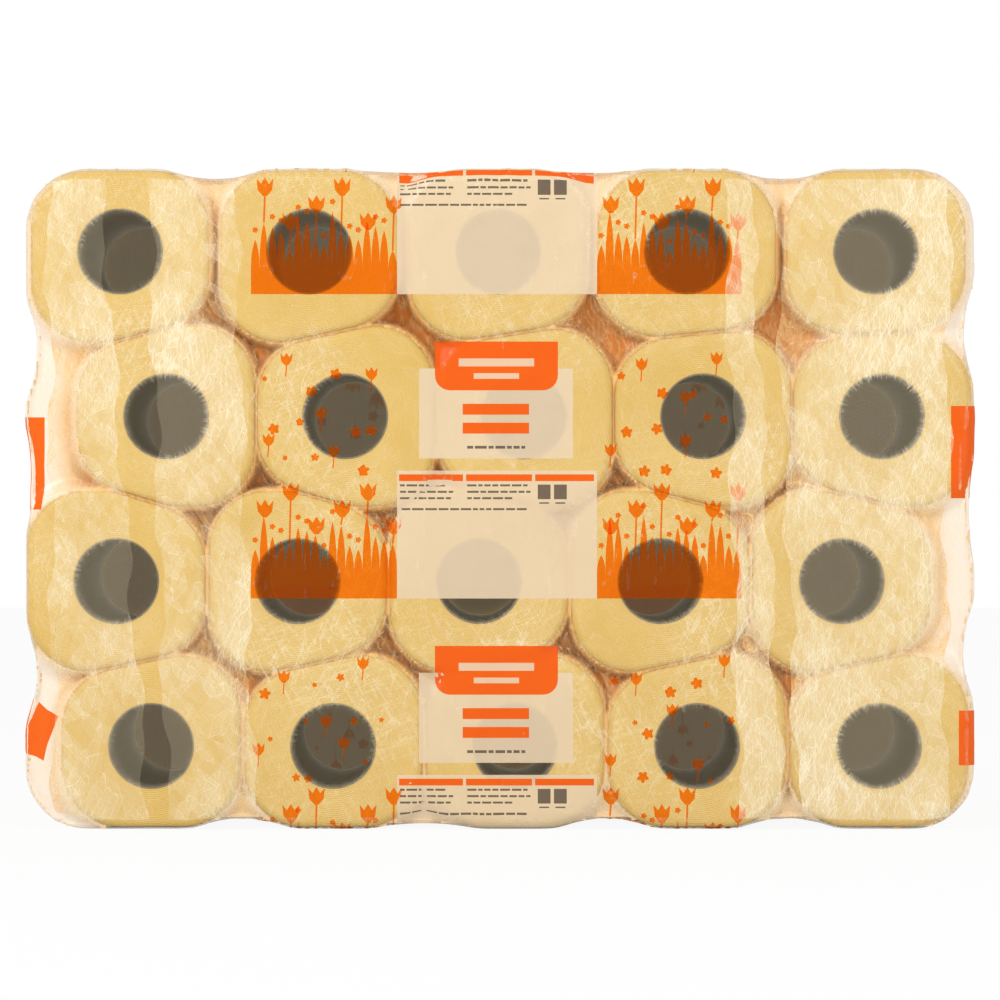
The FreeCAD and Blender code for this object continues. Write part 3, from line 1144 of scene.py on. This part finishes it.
def lay(piece, path, lift, ends=False):
    """Casts each point of a flat piece onto the film. A flat piece has X along the pack and Z
    along the path; with ends, X runs along the path and Z is height."""
    places = points_of(piece)
    for i, (across, _, along) in enumerate(places):
        if ends:
            (depth, out), (in_depth, in_out) = path.at(across)
            start, way = Vector((out, depth, along)), Vector((in_out, in_depth, 0.0))
        else:
            (depth, out), (in_depth, in_out) = path.at(along)
            start, way = Vector((across, depth, out)), Vector((0.0, in_depth, in_out))
        hit = film_surface.ray_cast(start - way * stand_off, way, 3 * stand_off)[0]
        if hit is None:
            hit = film_surface.find_nearest(start)[0]
        places[i] = hit - way * lift
    move_points(piece, places)


# %% [markdown]
# ## Print
# The web is printed before the bag is made, so the same drawing comes round again and again:
# a cream panel with bands of orange beside it, then a label with an orange tag. The panels hold
# rows of plain bars, and a simple border of leaves and tulips fills the orange band. The ink
# lets light through, so it is orange over paper and a deep red over a tube's mouth: a tinted
# transparent shader with a little body colour.

# %% Inks
ink_mottle = 1.06


def ink(name, colour, body, through):
    """An ink: body is its own share, and through the tint of what shows behind it."""
    material, tree, shader = new_material(name)
    coords = tree.nodes.new("ShaderNodeTexCoord").outputs["Object"]
    crepe = place_group(tree, crepe_group, coords)
    pale = tuple(min(1.0, part * ink_mottle) for part in colour[:3]) + (1.0,)
    shade = mix_colour(tree, crepe.outputs["Clouds"], colour, pale)
    tree.links.new(shade, shader.inputs["Base Color"])
    shader.inputs["Roughness"].default_value = 0.4
    shader.inputs["Specular IOR Level"].default_value = 0.25
    clear = tree.nodes.new("ShaderNodeBsdfTransparent")
    clear.inputs["Color"].default_value = through
    mix = mix_shaders(tree, body, clear.outputs[0], shader.outputs[0])
    tree.links.new(mix, tree.nodes["Material Output"].inputs["Surface"])
    return material


orange_ink = ink("orange_ink", screen(248, 108, 18), 0.20, (1.0, 0.33, 0.02, 1.0))
tag_ink = ink("tag_ink", screen(240, 92, 8), 0.85, (1.0, 0.30, 0.01, 1.0))
cream_ink = ink("cream_ink", screen(228, 206, 174), 0.84, white)
dark_ink = ink("dark_ink", screen(70, 54, 46), 0.85, white)

# %% [markdown]
# A drawing is flat shapes, each a short list of corners. All shapes of one ink become one mesh.
# It is cut into small cells before it is laid on the film, or its long faces would cut through
# the bulges between their corners.

# %% Flat drawings
print_cell = 0.0035
ink_lift = 0.00012


class Drawing:
    """Shapes of one ink, gathered as outlines and made one piece when they are all there."""

    def __init__(self):
        self.shapes = []

    def shape(self, points):
        self.shapes.append(points)

    def bar(self, left, right, low, high):
        self.shape([(left, low), (right, low), (right, high), (left, high)])

    def tag(self, left, right, low, high, radius, steps=6):
        """A field with a straight top and two rounded lower corners."""
        points = [(right, high), (left, high)]
        for middle, turn in ((left + radius, math.pi), (right - radius, 1.5 * math.pi)):
            for number in range(steps + 1):
                angle = turn + number / steps * math.pi / 2
                points.append((middle + radius * math.cos(angle), low + radius + radius * math.sin(angle)))
        self.shape(points)

    def leaf(self, x, low, height, width, lean):
        """A pointed leaf that stands on a line and leans to one side."""
        left, right = [], []
        for share in (0.0, 0.2, 0.45, 0.7, 0.88):
            half = width / 2 * (1 - share ** 3)
            middle = x + lean * share ** 2
            left.append((middle - half, low + height * share))
            right.append((middle + half, low + height * share))
        self.shape(right + [(x + lean, low + height)] + left[::-1])

    def stem(self, x, low, high, width, lean):
        self.shape([
            (x - width / 2, low), (x + width / 2, low),
            (x + lean + width / 2, high), (x + lean - width / 2, high),
        ])

    def tulip(self, x, low, size):
        """A cup with three points."""
        half = size / 2
        self.shape([
            (x - half * 0.25, low), (x + half * 0.25, low), (x + half * 0.85, low + size * 0.35),
            (x + half, low + size), (x + half * 0.45, low + size * 0.68), (x, low + size * 1.05),
            (x - half * 0.45, low + size * 0.68), (x - half, low + size),
            (x - half * 0.85, low + size * 0.35),
        ])

    def blossom(self, x, z, size, turn=0.0):
        """Five round petals in one outline."""
        points = []
        for number in range(30):
            angle = number / 30 * 2 * math.pi
            reach = size / 2 * (0.55 + 0.45 * abs(math.cos(2.5 * angle)))
            points.append((x + reach * math.cos(angle + turn), z + reach * math.sin(angle + turn)))
        self.shape(points)

    def finish(self, name, material, path, lift, ends=False):
        """One mesh of all the shapes, cut into small cells and laid on the film."""
        mesh = bmesh.new()
        for points in self.shapes:
            mesh.faces.new([mesh.verts.new((x, 0.0, z)) for x, z in points])
        bmesh.ops.triangulate(mesh, faces=mesh.faces, ngon_method="EAR_CLIP")
        for axis in (0, 2):
            spread = [vert.co[axis] for vert in mesh.verts]
            place = math.ceil(min(spread) / print_cell) * print_cell
            normal = Vector((1, 0, 0)) if axis == 0 else Vector((0, 0, 1))
            while place < max(spread):
                bmesh.ops.bisect_plane(
                    mesh, geom=mesh.verts[:] + mesh.edges[:] + mesh.faces[:],
                    plane_co=normal * place, plane_no=normal, dist=1e-6
                )
                place += print_cell
        data = bpy.data.meshes.new(name)
        mesh.to_mesh(data)
        mesh.free()
        piece = bpy.data.objects.new(name, data)
        bpy.context.scene.collection.objects.link(piece)
        lay(piece, path, lift, ends)
        face_outwards(piece)
        smooth(piece)
        dress(piece, material, "bag_film")
        return piece


def face_outwards(piece):
    """Turns round each face that looks at the middle of the pack."""
    mesh = bmesh.new()
    mesh.from_mesh(piece.data)
    middle = Vector((0.0, 0.0, camera_height))
    for face in mesh.faces:
        away = face.calc_center_median() - middle
        away.x *= 0.1
        if face.normal.dot(away) < 0:
            face.normal_flip()
    mesh.to_mesh(piece.data)
    mesh.free()


# %% [markdown]
# The places of the drawing's parts are in millimetres, measured from the foot of its orange
# band, as a printer would note them.

# %% One repeat of the drawing
mm = 0.001
repeat = 161.3 * mm
first_foot = 122.4 * mm
panel_left, panel_right, panel_top = -54.6 * mm, 51.4 * mm, 67.8 * mm
field_left, field_right = -132.0 * mm, 128.0 * mm
solid_top = 12.0 * mm
leaf_pitch = 4.4 * mm


def draw_border(orange, foot, left, right, seed):
    """The orange field: a solid foot, a row of leaves on it, and tulips among them."""
    orange.bar(left, right, foot, foot + solid_top)
    count = int((right - left) / leaf_pitch)
    pitch = (right - left) / count
    low = foot + solid_top
    for number in range(count):
        x = left + (number + 0.5) * pitch
        height = (11 + 5 * (number * 3 % 4) + 3 * ((number + seed) % 3)) * mm
        orange.leaf(x, low, height, pitch, 0.0)
        if number % 3 == 1:
            high = (34 + 9 * ((number // 3 + seed) % 3)) * mm
            orange.stem(x, low + height, foot + high, 1.0 * mm, 0.6 * mm)
            orange.tulip(x + 0.6 * mm, foot + high, 9.0 * mm)
        else:
            orange.blossom(x, low + height + 5 * mm, 3.4 * mm)


def draw_sprinkle(orange, foot, left, right, seed):
    """Small blossoms scattered over the film above the border."""
    draw = random.Random(seed)
    for line in range(3):
        for number in range(5):
            x = left + (number + 0.5 + 0.5 * (line % 2)) * (right - left) / 5.5
            z = foot + (70 + 22 * line + draw.uniform(-6, 6)) * mm
            size = draw.choice((3.0, 4.5, 6.5)) * mm
            x += draw.uniform(-4, 4) * mm
            if (number + line) % 3 == 0:
                orange.stem(x, z, z + 6 * mm, 0.7 * mm, 0.4 * mm)
                orange.tulip(x + 0.4 * mm, z + 6 * mm, 6.5 * mm)
            else:
                orange.blossom(x, z, size, draw.uniform(0, 1.5))


def draw_row(dark, left, right, low, tall, seed):
    """A row of short plain bars of differing lengths, with small spaces between them."""
    draw = random.Random(seed)
    x = left
    while x < right - 2 * mm:
        long = min(draw.uniform(2.2, 6.5) * mm, right - x)
        dark.bar(x, x + long, low, low + tall)
        x += long + 0.9 * mm


def draw_panel(cream, orange, dark, foot):
    """The cream panel, with three orange bars, rows of short dark bars and two squares."""
    cream.bar(panel_left, panel_right, foot, foot + panel_top)
    for left, right in ((-53.5, -19.6), (-18.0, 17.0), (18.6, 49.8)):
        orange.bar(left * mm, right * mm, foot + 62.2 * mm, foot + 65.8 * mm)
    rows = (
        (59.4, ((-53.0, -29.0), (-17.4, 14.6))), (56.0, ((-53.0, -22.5), (-17.4, 16.2))),
        (52.6, ((-53.0, -26.0), (-17.4, 6.5))), (46.8, ((-53.0, 14.5),)),
    )
    for height, spans in rows:
        for left, right in spans:
            draw_row(dark, left * mm, right * mm, foot + height * mm, 1.1 * mm, height + left)
    for left in (20.0, 28.6):
        dark.bar(left * mm, (left + 6.8) * mm, foot + 52.6 * mm, foot + 60.4 * mm)
        dark.bar((left + 0.8) * mm, (left + 6.0) * mm, foot + 50.2 * mm, foot + 51.0 * mm)


def draw_label(cream, orange, dark, tags, words, foot):
    """The label: a cream panel, an orange tag over its top edge, and plain bars on both."""
    cream.bar(-42.9 * mm, 38.7 * mm, foot + 74.2 * mm, foot + 121.9 * mm)
    tags.tag(-34.5 * mm, 30.7 * mm, foot + 110.3 * mm, foot + 136.2 * mm, 8.0 * mm)
    for low, high, half in ((97.4, 103.2, 17.6), (87.4, 93.2, 17.6)):
        orange.bar((-2.2 - half) * mm, (-2.2 + half) * mm, foot + low * mm, foot + high * mm)
    draw_row(dark, -17.4 * mm, 13.4 * mm, foot + 79.4 * mm, 1.5 * mm, 8)
    for low, high, half in ((123.0, 127.2, 20.0), (116.4, 119.4, 12.0)):
        words.bar((-1.9 - half) * mm, (-1.9 + half) * mm, foot + low * mm, foot + high * mm)


# %% [markdown]
# Each ink has a drawing of its own, and a print that lies over another is lifted a little more.

# %% Print all the way round
whole_web = sum(web.runs)
repeats = range(-1, int(whole_web / repeat) - 1)
fields, panels, words, marks, tags = Drawing(), Drawing(), Drawing(), Drawing(), Drawing()
tag_words = Drawing()
for number in repeats:
    foot = first_foot + number * repeat
    draw_border(fields, foot, field_left, panel_left, number + 4)
    draw_border(fields, foot, panel_right, field_right, number + 9)
    draw_sprinkle(fields, foot, field_left, panel_left - 0.004, number + 20)
    draw_sprinkle(fields, foot, panel_right + 0.004, field_right, number + 40)
    draw_panel(panels, marks, words, foot)
    draw_label(panels, marks, words, tags, tag_words, foot)
printed = [
    fields.finish("print_orange_fields", orange_ink, web, ink_lift),
    panels.finish("print_cream_panels", cream_ink, web, ink_lift),
    marks.finish("print_orange_bars", tag_ink, web, 2 * ink_lift),
    words.finish("print_dark_bars", dark_ink, web, 2 * ink_lift),
    tags.finish("print_tags", tag_ink, web, 3 * ink_lift),
    tag_words.finish("print_tag_bars", cream_ink, web, 7 * ink_lift),
]
print("print:", [(piece.name, len(piece.data.polygons)) for piece in printed])

# %% [markdown]
# The film's other prints come round on the two ends as well, where the bag is folded: one label
# on each end, which reaches a little round the front corner.

# %% Labels on the ends
end_path = Path(cad_high.y, cad_low.x, cad_high.x)
end_panels, end_tags = Drawing(), Drawing()
for side, near, height in ((-1, 0.243, 0.194), (1, 0.239, 0.200)):
    far = near + 0.026
    left, right = sorted((side * near, side * far))
    end_tags.bar(left, right, height - 0.0245, height + 0.0245)
    left, right = sorted((side * (far - 0.006), side * (far + 0.046)))
    end_panels.bar(left, right, height - 0.032, height + 0.032)
end_tags.shape([(-0.244, 0.036), (-0.234, 0.060), (-0.252, 0.069), (-0.262, 0.045)])
end_tags.bar(0.243, 0.262, 0.034, 0.063)
end_panels.finish("print_end_panels", cream_ink, end_path, ink_lift, ends=True)
end_tags.finish("print_end_tags", tag_ink, end_path, 3 * ink_lift, ends=True)
print("labels on the ends: 2, corner tags: 2")

# %% [markdown]
# ## Folded ends
# Before its ends are sealed the bag is folded in like a parcel, so strips of doubled film lie
# over the first and last columns. Each strip is a narrow grid between four chosen corners, laid
# on the film and pleated along its length. Its film has more veil and more threads.

# %% Folded strips
strip_cell = 0.0022
strip_lift = 0.0004
strip_pleat = 0.0011
strip_wave = 0.007
sway_wide, sway_fine = 0.0022, 0.001
strip_span = (0.006, 0.344)
fold_film = film("folded_film", 0.08, 0.22, 0.42, 0.6, [
    (40.0, -6.0, 0.045, (9.0, 9.0, 1.0)),
    (30.0, 26.0, 0.035, (9.0, 9.0, 1.0)),
], crushes=2)


def add_strip(name, foot, top, behind=False):
    """A strip of folded film; foot and top are its (left, right) at its lower and upper end."""
    low, high = strip_span
    width = max(foot[1] - foot[0], top[1] - top[0])
    bpy.ops.object.select_all(action="DESELECT")
    bpy.ops.mesh.primitive_grid_add(
        x_subdivisions=max(3, int(width / strip_cell)),
        y_subdivisions=int((high - low) / strip_cell), size=1.0
    )
    piece = bpy.context.object
    piece.name = name
    places = points_of(piece)
    across, up = places[:, 0] + 0.5, places[:, 1] + 0.5
    left = foot[0] + (top[0] - foot[0]) * up
    right = foot[1] + (top[1] - foot[1]) * up
    height = low + (high - low) * up
    sway = sway_wide * np.sin(height * 70.0 + left * 40.0) + sway_fine * np.sin(height * 190.0)
    flat = np.column_stack([left + (right - left) * across + sway, 0 * up, height])
    pleats = crease(flat, strip_wave, Vector((9.0, 2.0, 5.0)), (1.0, 1.0, 0.12))
    if behind:
        flat[:, 2] = [web.behind(place) for place in height]
    move_points(piece, flat)
    lay(piece, web, strip_lift)
    places = points_of(piece)
    outside = np.sign(places[:, 1])
    away_from_edge = step(roll_y + 0.003 - np.abs(places[:, 1]), -0.004, 0.0)
    places[:, 1] += outside * strip_pleat * pleats ** 2 * away_from_edge
    move_points(piece, places)
    face_outwards(piece)
    mark_mouths(piece)
    smooth(piece)
    dress(piece, fold_film, "bag_film")
    return piece


strips = (
    ("fold_right_inner", (0.127, 0.150), (0.1195, 0.1325)),
    ("fold_right_outer", (0.158, 0.236), (0.146, 0.238)),
    ("fold_left_inner", (-0.176, -0.130), (-0.186, -0.141)),
    ("fold_left_outer", (-0.236, -0.186), (-0.240, -0.212)),
)
for name, foot, top in strips:
    add_strip(name + "_front", foot, top)
    add_strip(name + "_back", foot, top, behind=True)
print("folded strips:", 2 * len(strips))

# %% [markdown]
# ## Sizes, and the end
# The largest meshes are listed with their triangles.

# %% Sizes, and the end
for piece in bpy.context.scene.objects:
    if piece.type == "MESH" and len(piece.data.polygons) > 20000:
        print(piece.name, "triangles:", sum(len(face.vertices) - 2 for face in piece.data.polygons))
